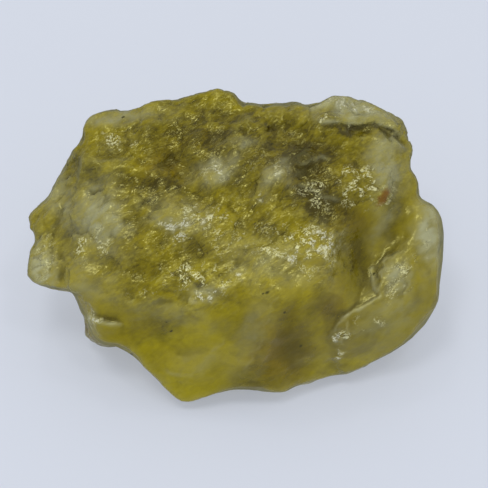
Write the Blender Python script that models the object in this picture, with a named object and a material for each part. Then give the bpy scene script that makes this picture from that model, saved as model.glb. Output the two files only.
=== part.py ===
# Rough lemon topaz: one broken lump of yellow-green crystal, lying on the flattest of its breaks.
#
# The lump is drawn on the plane of its widest outline. There, u runs to the right, v runs up, and
# w stands out of the plane, so the upper side has w above 0 and the underside has w below 0.
# The tables give u, v and w in millimetres. The plane is then tipped up, and the lump is cut off
# flat where it lies on the table. The origin is under the middle of the lump, on the table.

import math

import bpy
import bmesh
from mathutils import Matrix, Vector, noise

MM = 0.001
TIP = math.radians(40)  # how far the plane of the outline is tipped up from the table
TABLE_DROP = 11.4  # from the middle of the outline down to the table

CROWN = 9.6  # how far the upper side stands out of the outline's plane
KEEL = 13.2  # how far the underside does
UPPER_FULLNESS = 2.7  # 2 is an ellipse, and more has fuller shoulders
UNDER_FULLNESS = 2.4
EDGE_ROUNDING = 0.4  # where two broad faces of the upper side meet
UNDER_ROUNDING = 0.8

GRID_CUTS = 79  # cuts along each side of the cube that is rounded into the lump
TRIANGLE_SHARE = 0.138  # of the grid's triangles, the share kept, mostly at ledges and ridges

# The outline, clockwise from the left tip: u, v, and w where the rim leaves the plane.
OUTLINE = (
    (-22.5, -1.4, -0.4), (-22.0, 0.0, -0.3), (-21.8, 1.2, 0.0), (-22.4, 2.8, 0.2),
    (-21.9, 4.0, 0.2), (-20.6, 5.2, 0.2), (-19.8, 6.7, 0.0), (-18.8, 8.4, 0.0),
    (-17.6, 10.2, 0.2), (-16.8, 11.5, 0.4), (-16.1, 13.8, 0.6), (-14.7, 14.4, 0.6),
    (-13.0, 14.8, 0.4), (-10.2, 14.9, 0.2), (-7.2, 15.9, 0.2), (-4.2, 16.5, 0.0),
    (-1.6, 16.8, 0.0), (-0.4, 16.5, 0.0), (1.0, 15.6, -0.4), (4.2, 15.4, -0.6),
    (6.2, 15.7, -0.4), (7.6, 15.3, -0.2), (9.4, 15.6, 0.0), (12.3, 16.2, 0.2),
    (14.4, 15.6, 0.2), (16.7, 14.5, 0.0), (18.1, 13.7, 0.0), (18.6, 12.6, 0.0),
    (18.75, 10.6, -0.2), (18.65, 8.6, -0.6), (19.5, 7.5, -1.4), (19.9, 6.0, -1.2),
    (19.7, 5.2, -0.8), (21.0, 4.6, -0.4), (22.0, 3.4, 0.0), (22.5, 1.4, 0.2),
    (22.4, -2.0, 0.2), (22.0, -4.8, 0.0), (21.3, -7.0, -0.2), (20.3, -8.8, -0.6),
    (18.4, -10.6, -1.0), (15.4, -12.5, -1.4), (12.6, -13.7, -1.4), (9.6, -14.4, -1.2),
    (7.0, -15.1, -1.0), (5.0, -15.9, -0.8), (2.6, -15.7, -0.4), (-0.4, -15.7, 0.0),
    (-3.4, -16.4, 0.2), (-5.6, -16.8, 0.2), (-7.2, -15.8, 0.0), (-9.2, -13.8, 0.0),
    (-11.2, -12.0, -0.2), (-13.2, -10.9, -0.2), (-14.6, -10.7, -0.2), (-15.8, -9.6, 0.0),
    (-16.4, -8.2, 0.2), (-17.2, -6.8, 0.2), (-18.0, -5.0, 0.0), (-19.4, -4.8, -0.2),
    (-21.2, -4.3, -0.4), (-22.2, -3.2, -0.5),
)

# The broad faces of the upper side, each the plane through three points. The lowest one counts.
MAIN_FACES = (
    ((-10.0, -5.5, 8.6), (7.0, -4.0, 9.3), (0.0, 12.0, 4.6)),  # sugared top
    ((-12.0, 11.5, 3.2), (0.0, 14.0, 3.2), (-6.0, 4.0, 7.5)),  # slope to the back left
    ((-14.6, -2.0, 6.6), (-13.6, 7.0, 5.2), (-20.0, 2.0, 2.8)),  # left end
    ((-13.6, -6.2, 6.3), (2.7, -6.0, 8.8), (-5.6, -16.0, 2.0)),  # front left
    ((2.7, -15.6, 3.5), (12.5, -12.0, 2.0), (5.8, -7.0, 8.7)),  # front right
    ((11.0, 11.5, 4.8), (18.2, 8.0, 3.4), (13.0, 5.5, 7.1)),  # block at the right
)
# The smooth scoop at the right is broken out of it: two steep sides and the floor between them.
# Here the highest one counts.
SCOOP_FACES = (
    ((9.3, -3.6, 9.1), (10.8, 5.0, 7.2), (13.4, -3.6, 4.6)),
    ((11.0, 4.6, 7.4), (17.5, 6.0, 5.2), (14.5, 0.6, 4.0)),
    ((12.8, -6.8, 4.7), (17.0, -0.8, 3.7), (19.0, 4.0, 3.0)),
)
SCOOP_ROUNDING = 1.8
# The lobe beyond the scoop is a slab of its own, proud of the rest along its scarp.
LOBE_SCARP = (
    (13.0, -17.0), (11.2, -13.2), (10.0, -11.4), (9.7, -9.8), (10.9, -7.9), (12.4, -6.6),
    (13.9, -5.5), (15.0, -3.8), (15.9, -2.1), (16.9, -0.8), (18.0, 0.3), (18.8, 2.1),
    (19.3, 4.0), (20.0, 6.0), (22.0, 9.0),
)
LOBE_FACES = (
    ((10.9, -7.9, 6.6), (17.0, -0.8, 5.1), (20.5, -5.0, 4.2)),
    ((10.5, -10.0, 5.3), (16.0, -9.0, 4.8), (13.0, -13.0, 2.2)),
)
SCARP_WIDTH = 0.5
# The broad faces of the underside, which is broken in the same way.
UNDER_FACES = (
    ((-8.0, 8.0, -10.4), (9.0, 9.0, -9.8), (0.0, 14.0, -3.6)),  # upright back
    ((-15.0, 4.0, -7.2), (-14.0, -6.0, -6.6), (-20.0, -1.0, -2.4)),  # left
    ((15.0, 6.0, -7.8), (14.0, -6.0, -8.4), (20.4, 0.0, -3.4)),  # right
    ((-10.0, 12.5, -4.0), (-16.0, 7.0, -4.0), (-8.0, 6.0, -11.4)),  # back left
    ((12.0, 12.6, -4.4), (18.0, 6.0, -4.6), (8.0, 7.0, -11.6)),  # back right
)

# Rounded swellings (above 0) and hollows (below 0) of the upper side:
# u, v, half length, half width, turn in degrees, height.
SWELLINGS = (
    (-20.6, 3.0, 1.9, 1.3, 70, 0.9),  # left knob, upper
    (-20.6, -2.2, 2.2, 1.4, 80, 1.0),  # left knob, lower
    (-15.2, 2.8, 2.4, 1.8, 10, 0.4),  # bright facet of the left end
    (-2.4, 7.8, 2.6, 1.6, 20, 0.9),  # middle boss
    (0.6, 11.2, 1.8, 1.4, 60, 0.5),  # boss behind it
    (4.2, 7.4, 1.8, 1.5, 60, 0.8),  # boss to its right
    (16.4, 7.4, 1.2, 2.6, 0, 0.5),  # right block's shoulder
    (-6.4, 9.2, 3.6, 1.3, -12, -0.8),  # trough at the back left
    (4.2, 12.6, 1.4, 2.4, 20, -0.5),  # dip beside the lip
    (8.6, 10.4, 3.2, 1.6, -20, -0.9),  # hollow under the lip
    (7.0, 7.2, 2.4, 1.0, -35, -0.8),  # hollow above the fan
    (-10.5, -0.5, 3.0, 2.0, 30, 0.4),  # low swelling on the sugared top
    (-4.0, 1.6, 4.0, 1.6, -15, 0.4),
    (2.2, -1.6, 2.6, 1.6, 40, -0.4),
    (-6.0, -10.6, 3.0, 2.2, 0, -0.5),  # dimple low on the front
    (5.0, -9.6, 1.2, 3.4, -20, -0.5),  # flute down the front
    (-15.0, -8.6, 1.4, 1.1, 40, 0.5),  # lump on the lower left edge
    (-16.2, -6.2, 0.9, 0.7, 0, -0.6),  # pit above it
)
# Small ledges: how high they stand, how wide the step is, and how far the proud side, which is on
# the right of the line as drawn, takes to run back down.
LEDGES = (
    (0.35, 0.50, 4.0, ((13.6, -8.0), (14.8, -6.4), (15.8, -4.4), (16.6, -2.6), (17.5, -1.3),
                       (18.8, -0.2))),  # terraces of the lobe
    (0.30, 0.50, 3.0, ((15.0, -7.6), (16.6, -5.6), (17.4, -3.9), (18.4, -2.3), (19.8, -1.4))),
    (0.28, 0.50, 2.4, ((17.2, -6.6), (18.4, -4.8), (19.3, -3.2), (20.6, -2.2))),
    (0.35, 0.50, 2.6, ((10.9, -12.2), (11.0, -10.6), (11.9, -9.2), (13.4, -8.3))),
    (0.65, 0.60, 1.8, ((18.4, 11.0), (17.4, 12.2), (16.5, 12.8), (15.0, 13.5), (12.9, 13.1),
                       (11.1, 13.3), (9.2, 13.2), (7.5, 13.9))),  # lip along the top right
    (0.50, 0.60, 1.4, ((10.4, 9.2), (9.2, 9.5), (7.9, 9.0), (6.3, 8.4))),  # edge of the hollow
    (0.55, 0.60, 1.5, ((11.4, 4.7), (9.5, 5.1), (7.9, 5.9), (6.2, 6.8))),  # fan
    (0.45, 0.60, 1.8, ((-12.8, 5.2), (-13.2, 3.5), (-13.6, 1.8), (-14.1, -1.9))),  # left facet
    (0.30, 0.60, 1.6, ((-17.9, 7.0), (-15.3, 6.7), (-12.0, 6.2), (-8.2, 5.7))),  # left streaks
    (0.28, 0.60, 1.4, ((-17.2, 9.4), (-14.0, 9.3), (-10.8, 9.6))),
    (0.45, 0.70, 1.6, ((-15.8, 12.9), (-12.6, 13.1), (-9.3, 13.4), (-7.5, 14.3))),  # bevel
    (0.60, 0.60, 1.6, ((-16.2, -7.2), (-15.0, -7.9), (-13.8, -8.2), (-12.4, -8.2))),  # low left
    (0.35, 0.70, 2.2, ((-13.5, -5.0), (-9.5, -6.3), (-5.5, -6.2), (-2.0, -5.6))),  # shoulder
    (0.35, 0.60, 1.6, ((-3.0, 2.6), (0.5, 3.6), (3.0, 3.0), (5.0, 1.4))),
    (0.30, 0.60, 1.6, ((-10.0, 3.2), (-7.0, 4.4), (-4.0, 4.0))),
    (0.50, 0.90, 3.0, ((6.8, -4.4), (4.9, -7.0), (3.4, -10.8), (2.3, -15.1))),  # front ridge
    (0.25, 0.60, 2.0, ((-9.0, -9.6), (-6.2, -12.0), (-2.6, -11.4), (2.0, -8.4))),  # front chevron
)
UNDER_LEDGES = (
    (0.60, 0.80, 2.6, ((-13.0, 8.0), (-7.0, 11.0), (1.0, 10.6), (8.0, 12.4))),
    (0.55, 0.80, 2.2, ((15.5, 9.0), (10.0, 6.4), (4.0, 7.2))),
    (0.50, 0.80, 2.4, ((-18.5, -2.6), (-15.0, 2.0), (-15.4, 6.4))),
    (0.50, 0.80, 2.4, ((18.8, 3.0), (15.8, -1.0), (16.4, -6.0))),
)
# Clefts: how deep, how wide, and where.
CLEFTS = (
    (0.55, 0.50, ((-19.0, 5.0), (-19.3, 2.4), (-19.9, 0.5), (-20.0, -1.4), (-20.1, -3.2))),
    (0.45, 0.45, ((-20.4, 3.0), (-20.6, 1.6), (-21.4, 0.6))),
    (0.40, 0.40, ((-18.2, -1.6), (-18.9, -3.2), (-18.8, -4.6))),
    (0.35, 0.40, ((11.5, 10.8), (12.0, 9.9), (12.4, 9.0), (13.7, 8.7))),
    (0.45, 0.40, ((16.9, 11.9), (17.6, 11.3), (18.3, 10.4))),
    (0.30, 0.50, ((1.2, 15.0), (2.0, 13.0), (1.6, 11.4))),
)
# The line between the sugared top and the clean breaks at the front and right of it.
SUGAR_LINE = (
    (-24.0, -3.2), (-18.6, -4.2), (-13.6, -5.4), (-9.3, -6.6), (-2.3, -5.8), (2.5, -5.2),
    (7.9, -3.6), (10.4, -1.5), (11.1, 1.5), (12.0, 4.4), (16.0, 4.6), (20.0, 6.6),
)
# Natural unevenness: size of the pattern, how far it moves the surface, and its offset.
SWELL = (5.5, 0.55, 11.0)
CHIPS = (3.2, 1.0, 47.0)
BOWL = 1.25  # how hollow a chip is
CLEAN_SHARE = 0.30  # how much of the chips there is on the clean breaks
UNDER_SHARE = 0.70
RIM_SHARE = 0.15  # how much of all of it there is at the outline

CRYSTAL_COLOUR = (0.215, 0.182, 0.042, 1.0)
CRYSTAL_ROUGHNESS = 0.28
CRYSTAL_IOR = 1.62


def closed_curve(points, steps=12):
    # A smooth closed curve through the points.
    curve = []
    count = len(points)
    for i in range(count):
        before, here, there, after = (Vector(points[(i + k) % count]) for k in (-1, 0, 1, 2))
        for step in range(steps):
            t = step / steps
            bend = 2 * before - 5 * here + 4 * there - after
            twist = -before + 3 * here - 3 * there + after
            curve.append(here + 0.5 * ((there - before) * t + bend * t**2 + twist * t**3))
    return curve


def rim_by_angle(curve):
    # The outline as (angle, distance from the middle, w), in order of angle and once round.
    rim = sorted((math.atan2(p.y, p.x), math.hypot(p.x, p.y), p.z) for p in curve)
    first, last = rim[0], rim[-1]
    turn = 2 * math.pi
    return [(last[0] - turn, *last[1:])] + rim + [(first[0] + turn, *first[1:])]


def rim_at(rim, angle):
    low, high = 0, len(rim) - 1
    while high - low > 1:
        middle = (low + high) // 2
        if rim[middle][0] <= angle:
            low = middle
        else:
            high = middle
    before, after = rim[low], rim[high]
    share = (angle - before[0]) / max(after[0] - before[0], 1e-9)
    return [a + (b - a) * share for a, b in zip(before[1:], after[1:])]


def rounded_min(a, b, rounding):
    blend = max(rounding - abs(a - b), 0) / rounding
    return min(a, b) - blend * blend * rounding / 4


def rounded_max(a, b, rounding):
    return -rounded_min(-a, -b, rounding)


def ease(share):
    share = min(max(share, 0.0), 1.0)
    return share * share * (3 - 2 * share)


def slope_of(corners):
    # A face as the height at u = v = 0 and the slopes along u and v.
    a, b, c = (Vector(corner) for corner in corners)
    normal = (b - a).cross(c - a)
    along_u, along_v = -normal.x / normal.z, -normal.y / normal.z
    return a.z - along_u * a.x - along_v * a.y, along_u, along_v


def height_on(slope, u, v):
    return slope[0] + slope[1] * u + slope[2] * v


def lowest(slopes, u, v, rounding):
    height = 99.0
    for slope in slopes:
        height = rounded_min(height, height_on(slope, u, v), rounding)
    return height


def beside(line, u, v):
    # How far the point is from the line, more than 0 on its right, and how far along it is.
    nearest, side, place = 99.0, 1.0, 0.0
    count = len(line) - 1
    for i in range(count):
        au, av = line[i]
        du, dv = line[i + 1][0] - au, line[i + 1][1] - av
        share = ((u - au) * du + (v - av) * dv) / (du * du + dv * dv)
        share = min(max(share, 0.0), 1.0)
        away_u, away_v = u - au - du * share, v - av - dv * share
        distance = math.hypot(away_u, away_v)
        if distance < nearest:
            nearest = distance
            side = 1.0 if du * away_v - dv * away_u <= 0 else -1.0
            place = (i + share) / count
    return nearest * side, place


def swelling(row, u, v):
    at_u, at_v, half_length, half_width, turn, height = row
    turn = math.radians(turn)
    along = ((u - at_u) * math.cos(turn) + (v - at_v) * math.sin(turn)) / half_length
    across = (-(u - at_u) * math.sin(turn) + (v - at_v) * math.cos(turn)) / half_width
    return height * math.exp(-(along**2 + across**2))


def ledge(row, u, v):
    rise, width, reach, line = row
    away, place = beside(line, u, v)
    if away < -width or away > 2.5 * reach:
        return 0.0
    fading = ease(min(place, 1 - place) / 0.2)
    return rise * fading * ease(away / width + 0.5) * math.exp(-((max(away, 0) / reach) ** 2))


def cleft(row, u, v):
    depth, width, line = row
    away, place = beside(line, u, v)
    return -depth * ease(min(place, 1 - place) / 0.15) * math.exp(-((away / width) ** 2))


MAIN_SLOPES = [slope_of(corners) for corners in MAIN_FACES]
SCOOP_SLOPES = [slope_of(corners) for corners in SCOOP_FACES]
LOBE_SLOPES = [slope_of(corners) for corners in LOBE_FACES]
UNDER_SLOPES = [slope_of(corners) for corners in UNDER_FACES]


def upper_height(u, v, dome):
    body = lowest(MAIN_SLOPES, u, v, EDGE_ROUNDING)
    scoop = 0.0
    for slope in SCOOP_SLOPES:
        scoop = rounded_max(scoop, height_on(slope, u, v), SCOOP_ROUNDING)
    body = rounded_min(body, scoop, EDGE_ROUNDING)
    lobe = lowest(LOBE_SLOPES, u, v, EDGE_ROUNDING)
    on_lobe = ease(beside(LOBE_SCARP, u, v)[0] / SCARP_WIDTH + 0.5)
    height = body + (lobe - body) * on_lobe
    height = rounded_max(height, 0.35 * dome, EDGE_ROUNDING)
    height = rounded_min(dome, height, EDGE_ROUNDING)
    relief = sum(swelling(row, u, v) for row in SWELLINGS)
    relief += sum(ledge(row, u, v) for row in LEDGES)
    relief += sum(cleft(row, u, v) for row in CLEFTS)
    return height + relief * ease(dome / CROWN * 3)


def under_height(u, v, dome):
    height = dome
    for slope in UNDER_SLOPES:
        height = rounded_min(height, -height_on(slope, u, v), UNDER_ROUNDING)
    height = rounded_max(height, 0.35 * dome, EDGE_ROUNDING)
    relief = sum(ledge(row, u, v) for row in UNDER_LEDGES)
    return -height - relief * ease(dome / KEEL * 3)


def lump_point(direction, rim):
    # Where a point of the unit ball goes: its angle picks the rim, its height the dome.
    flat = math.hypot(direction.x, direction.y)
    angle = math.atan2(direction.y, direction.x)
    radius, rim_w = rim_at(rim, angle)
    upper = direction.z >= 0
    power = 2 / (UPPER_FULLNESS if upper else UNDER_FULLNESS)
    share = flat**power
    u = radius * share * math.cos(angle)
    v = radius * share * math.sin(angle)
    dome = (CROWN if upper else KEEL) * abs(direction.z) ** power
    w = upper_height(u, v, dome) if upper else under_height(u, v, dome)
    return Vector((u, v, w + rim_w * share**3))


def sugar(point):
    # 1 on the sugared top, less on the clean breaks and the underside.
    if point.z < 0:
        return CLEAN_SHARE + (UNDER_SHARE - CLEAN_SHARE) * ease(-point.z / 2)
    above = -beside(SUGAR_LINE, point.x, point.y)[0]
    return CLEAN_SHARE + (1 - CLEAN_SHARE) * ease(above / 1.5 + 0.5)


def chip_height(where):
    # Shell-like chips side by side: each is a shallow bowl with its own tilt, and the bowls meet
    # in sharp ridges.
    height = 99.0
    for seed in noise.voronoi(where)[1]:
        tilt = noise.cell_vector(seed * 7.3) - Vector((0.5, 0.5, 0.5))
        height = min(height, BOWL * (where - seed).length_squared + tilt.dot(where - seed))
    return height


def round_ball(bm):
    bmesh.ops.create_cube(bm, size=2)
    bmesh.ops.subdivide_edges(bm, edges=bm.edges[:], cuts=GRID_CUTS, use_grid_fill=True)
    for vert in bm.verts:
        vert.co = Vector([math.tan(c * math.pi / 4) for c in vert.co]).normalized()


def roughen(bm):
    bm.normal_update()
    moves = []
    for vert in bm.verts:
        size, depth, offset = SWELL
        lump = noise.noise(vert.co / size + Vector((offset, offset, offset))) * depth
        size, depth, offset = CHIPS
        chip = chip_height(vert.co / size + Vector((offset, offset, offset))) * depth
        share = RIM_SHARE + (1 - RIM_SHARE) * ease(abs(vert.co.z) / 3)
        moves.append(vert.normal * (lump + (chip - 0.15 * depth) * sugar(vert.co)) * share)
    for vert, move in zip(bm.verts, moves):
        vert.co += move


def cut_flat(bm, height):
    geometry = bm.verts[:] + bm.edges[:] + bm.faces[:]
    cut = bmesh.ops.bisect_plane(
        bm, geom=geometry, dist=1e-7, plane_co=(0, 0, height), plane_no=(0, 0, -1), clear_outer=True
    )
    edges = [item for item in cut["geom_cut"] if isinstance(item, bmesh.types.BMEdge)]
    for vert in {vert for edge in edges for vert in edge.verts}:
        vert.co.z = height
    bmesh.ops.holes_fill(bm, edges=edges)


def stand_on_origin(bm):
    lows = [min(vert.co[axis] for vert in bm.verts) for axis in range(3)]
    highs = [max(vert.co[axis] for vert in bm.verts) for axis in range(3)]
    middle = Vector([(lows[0] + highs[0]) / 2, (lows[1] + highs[1]) / 2, lows[2]])
    bmesh.ops.translate(bm, vec=-middle, verts=bm.verts[:])


def crystal_material():
    material = bpy.data.materials.new("lemon_crystal")
    material.use_nodes = True
    shader = material.node_tree.nodes["Principled BSDF"]
    shader.inputs["Base Color"].default_value = CRYSTAL_COLOUR
    shader.inputs["Roughness"].default_value = CRYSTAL_ROUGHNESS
    shader.inputs["Metallic"].default_value = 0.0
    shader.inputs["IOR"].default_value = CRYSTAL_IOR
    material.diffuse_color = CRYSTAL_COLOUR
    return material


def keep_triangles_at_edges(stone):
    # Fewer, larger triangles on the flat runs, and small ones along the ledges.
    thinning = stone.modifiers.new("thinning", "DECIMATE")
    thinning.ratio = TRIANGLE_SHARE
    thinning.use_collapse_triangulate = True
    bpy.context.view_layer.objects.active = stone
    bpy.ops.object.modifier_apply(modifier=thinning.name)


def build_topaz():
    rim = rim_by_angle(closed_curve(OUTLINE))
    mesh = bpy.data.meshes.new("rough_topaz")
    stone = bpy.data.objects.new("rough_topaz", mesh)
    bpy.context.scene.collection.objects.link(stone)

    bm = bmesh.new()
    round_ball(bm)
    for vert in bm.verts:
        vert.co = lump_point(vert.co, rim)
    roughen(bm)
    bm.to_mesh(mesh)
    keep_triangles_at_edges(stone)

    bm.clear()
    bm.from_mesh(mesh)
    bm.transform(Matrix.Scale(MM, 4) @ Matrix.Rotation(TIP, 4, "X"))
    cut_flat(bm, -TABLE_DROP * MM)
    stand_on_origin(bm)
    bmesh.ops.recalc_face_normals(bm, faces=bm.faces[:])
    bm.to_mesh(mesh)
    bm.free()
    mesh.materials.append(crystal_material())
    mesh.shade_smooth()
    mesh.set_sharp_from_angle(angle=math.radians(35))
    return stone


for leftover in list(bpy.data.objects):
    bpy.data.objects.remove(leftover, do_unlink=True)

build_topaz()
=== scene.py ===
# Dresses the rough lemon topaz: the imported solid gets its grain, its glassy breaks and its colour.
import math

import bpy
from mathutils import Matrix, Vector, noise


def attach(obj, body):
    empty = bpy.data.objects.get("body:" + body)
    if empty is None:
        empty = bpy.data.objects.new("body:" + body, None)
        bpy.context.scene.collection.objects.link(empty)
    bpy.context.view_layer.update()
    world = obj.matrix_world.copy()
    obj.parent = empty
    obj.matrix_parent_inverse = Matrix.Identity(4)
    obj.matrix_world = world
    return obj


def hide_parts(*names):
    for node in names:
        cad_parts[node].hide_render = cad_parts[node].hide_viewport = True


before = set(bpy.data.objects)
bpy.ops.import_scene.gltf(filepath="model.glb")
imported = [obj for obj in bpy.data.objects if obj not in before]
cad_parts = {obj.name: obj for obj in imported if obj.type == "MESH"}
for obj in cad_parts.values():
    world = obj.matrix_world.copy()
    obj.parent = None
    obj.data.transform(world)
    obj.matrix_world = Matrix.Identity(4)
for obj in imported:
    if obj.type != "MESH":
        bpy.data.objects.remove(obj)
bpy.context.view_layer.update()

mm = 0.001
noise.seed_set(5)             # without it noise_vector differs from run to run

# The stone is laid out on the plane of its outline, in millimetres: u right, v up, w out.
layout = {
    "tip": math.radians(40),                 # how far that plane leans back from the table
    "middle": Vector((0.07, 0.09, 11.40)),   # where the middle of the outline is
}
leanBack = Matrix.Rotation(layout["tip"], 3, "X")
standUp = leanBack.inverted()


def toScene(u, v, w=0.0):
    return (leanBack @ Vector((u, v, w)) + layout["middle"]) * mm


def toLayout(point):
    return standUp @ (point / mm - layout["middle"])


def ease(share):
    share = min(max(share, 0.0), 1.0)
    return share * share * (3 - 2 * share)


def linear(red, green, blue):
    # a colour as it looks on the screen, turned into the light it stands for
    light = [((c / 255 + 0.055) / 1.055) ** 2.4 if c > 10 else c / 3300 for c in (red, green, blue)]
    return (*light, 1.0)


def deselectAll():
    if bpy.context.object and bpy.context.object.mode != "OBJECT":
        bpy.ops.object.mode_set(mode="OBJECT")
    bpy.ops.object.select_all(action="DESELECT")


def makeActive(piece):
    deselectAll()
    piece.select_set(True)
    bpy.context.view_layer.objects.active = piece


# the stone's skin
skin = {
    "grid": 0.24 * mm,        # how fine the mesh is
    "softness": 0.5,          # how much each smoothing pass takes off
    "smoothing": 4,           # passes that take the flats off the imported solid
    "stepSmoothing": 90,      # passes that run the foot of the lobe soft
    "stepReach": 2.2,         # how far from that foot they work, in mm
    "baseKeep": 0.6 * mm,     # nothing is raised this close to the table
    "baseFade": 1.2 * mm,     # and over this height it grows to its full share
    "sugarWaves": 2.5,        # the sugared top's edge wanders in waves of this size, in mm
    "sugarWander": 2.4,       # and this far
    "sugarFade": 4.5,         # mm over which the top turns into clean breaks
    "leastSugar": 0.12,       # what the clean breaks keep of it
    "backSugar": 0.55,        # its share on the sides that the photo doesn't show
    "backDepth": 3,           # mm behind the outline's plane where that share is reached
    "reliefSmoothing": 50,    # passes that level the surface its ridges are measured from
    "reliefSpan": 0.5 * mm,   # from the deepest pit to the highest ridge
}

# where the sugared top ends and the clean breaks begin
sugarLine = (
    (-24.0, -3.2), (-18.6, -4.2), (-13.6, -5.4), (-9.3, -6.6), (-2.3, -5.8), (2.5, -5.2),
    (7.9, -3.6), (10.4, -1.5), (11.1, 1.5), (12.0, 4.4), (16.0, 4.6), (20.0, 6.6),
)

# the foot of the lobe, whose step is run soft
stepLine = (
    (9.9, -10.6), (9.8, -9.6), (10.9, -7.8), (12.4, -6.5), (13.9, -5.4), (15.0, -3.7), (15.9, -2.0),
    (16.9, -0.7), (18.0, 0.4), (18.8, 2.2), (19.3, 4.0),
)

# shards that stand on the surface: their size and length for width, how far they tip and crease, in mm
shards = (
    {"size": 2.4, "stretch": 1.7, "tip": 0.22, "crease": 0.04},
    {"size": 0.95, "stretch": 2.0, "tip": 0.08, "crease": 0.0},
)
sharding = {
    "slant": math.radians(36),   # which way they run, up to the right
    "waves": 3.5,                # mm, the size of the waves that bend their rows
    "bend": 1.5,                 # mm, and how far those bend them
    "onClean": 0.12,             # what the clean breaks keep of them
    "creaseWidth": 0.35,         # of a shard's size
    "creaseLevel": 0.6,          # how much of the crease goes down
    "spread": 31.7,              # sets the leans of neighbouring shards far apart
}

# finer grain: kind, size and height in mm, and the vertex group that limits it
grains = (
    {"name": "ridges", "kind": "MUSGRAVE", "size": 1.6, "height": 0.05, "group": "sugar"},
    {"name": "cleanWaves", "kind": "CLOUDS", "size": 1.8, "height": 0.12, "group": "clean"},
)
graining = {"octaves": 4, "level": 0.45}

# crisp lips, proud on the right of the line, in mm: how high, how wide, how far they run back, the line
lips = (
    (0.22, 0.20, 1.0, ((9.8, -10.6), (9.9, -9.4), (10.4, -8.3), (11.3, -7.5), (12.5, -6.9), (13.9, -6.2),
                       (15.0, -5.2), (15.2, -3.8), (15.5, -2.4), (15.9, -1.4), (16.9, -0.9), (17.6, -0.4),
                       (18.3, 0.4))),
    (0.18, 0.18, 0.8, ((14.9, -5.6), (14.6, -4.4), (14.2, -3.4), (14.5, -2.4), (15.4, -1.9))),
    (0.20, 0.18, 0.8, ((15.6, -5.9), (16.6, -4.5), (17.4, -3.4), (17.9, -2.2), (18.5, -1.2))),
    (0.16, 0.18, 0.8, ((17.4, -6.0), (18.0, -4.6), (18.5, -3.2), (18.9, -1.6))),
    (0.14, 0.18, 0.8, ((11.4, -7.6), (12.0, -8.6), (11.8, -9.6), (11.0, -10.6))),
    (0.30, 0.20, 0.9, ((18.4, 11.0), (17.4, 12.2), (16.5, 12.8), (15.0, 13.5), (12.9, 13.1),
                       (11.1, 13.3), (9.2, 13.2), (7.5, 13.9))),
    (0.10, 0.20, 0.8, ((10.4, 9.2), (9.2, 9.5), (7.9, 9.0), (6.3, 8.4))),
    (0.10, 0.20, 0.8, ((11.4, 4.7), (9.5, 5.1), (7.9, 5.9), (6.2, 6.8))),
    (0.03, 0.20, 1.0, ((-12.8, 5.2), (-13.2, 3.5), (-13.6, 1.8), (-14.1, -1.9))),
    (0.03, 0.20, 0.8, ((-17.9, 7.0), (-15.3, 6.7), (-12.0, 6.2), (-8.2, 5.7))),
    (0.05, 0.20, 0.8, ((-17.2, 9.4), (-14.0, 9.3), (-10.8, 9.6))),
    (0.22, 0.20, 0.9, ((-16.2, -7.2), (-15.0, -7.9), (-13.8, -8.2), (-12.4, -8.2))),
    (0.05, 0.25, 1.2, ((-0.7, -9.2), (-2.3, -11.3), (-3.4, -13.0), (-5.0, -14.1), (-6.8, -13.9),
                       (-8.4, -13.2))),
    (0.06, 0.25, 1.0, ((4.2, -4.6), (3.9, -6.2), (3.4, -8.2), (2.4, -10.6), (1.2, -12.6), (0.6, -14.0))),
)

lipping = {
    "wobble": 0.6,            # mm that a line strays to either side
    "ends": 0.2,              # the share of its length over which a lip rises and sinks
    "tail": 2.5,              # a lip is followed this many times as far as it runs back
    "lowest": 0.4,            # mm over the outline's plane, where lips begin
    "paintReach": 1.5,        # mm on either side in which a lip is painted
    "paintHeight": 0.25,      # mm, the lip that is painted in full
    "highlightLine": (0.8, 0.12, 0.22),     # its painted highlight along the crest: strength, place and width in mm
    "shadeLine": (0.7, -0.35, 0.40),    # the shaded line beside it
}


def beside(line, u, v):
    # how far the point is from the line, more than 0 on its right, and how far along it is
    nearest, side, place = 99.0, 1.0, 0.0
    count = len(line) - 1
    for i in range(count):
        au, av = line[i]
        du, dv = line[i + 1][0] - au, line[i + 1][1] - av
        share = min(max(((u - au) * du + (v - av) * dv) / (du * du + dv * dv), 0.0), 1.0)
        awayU, awayV = u - au - du * share, v - av - dv * share
        distance = math.hypot(awayU, awayV)
        if distance < nearest:
            nearest = distance
            side = 1.0 if du * awayV - dv * awayU <= 0 else -1.0
            place = (i + share) / count
    return nearest * side, place


def besideLip(line, place):
    # how far the point is from the wavering line of a lip, and how far the lip has risen there
    away, along = beside(line, place.x + noise.noise(place) * lipping["wobble"], place.y)
    return away, ease(min(along, 1 - along) / lipping["ends"])


def copyOfNode(nodeName, pieceName):
    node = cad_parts[nodeName]
    piece = node.copy()
    piece.data = node.data.copy()
    piece.name = piece.data.name = pieceName
    bpy.context.scene.collection.objects.link(piece)
    return piece


def applyModifier(piece, name, kind, **settings):
    modifier = piece.modifiers.new(name, kind)
    for key, value in settings.items():
        setattr(modifier, key, value)
    makeActive(piece)
    bpy.ops.object.modifier_apply(modifier=modifier.name)


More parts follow.
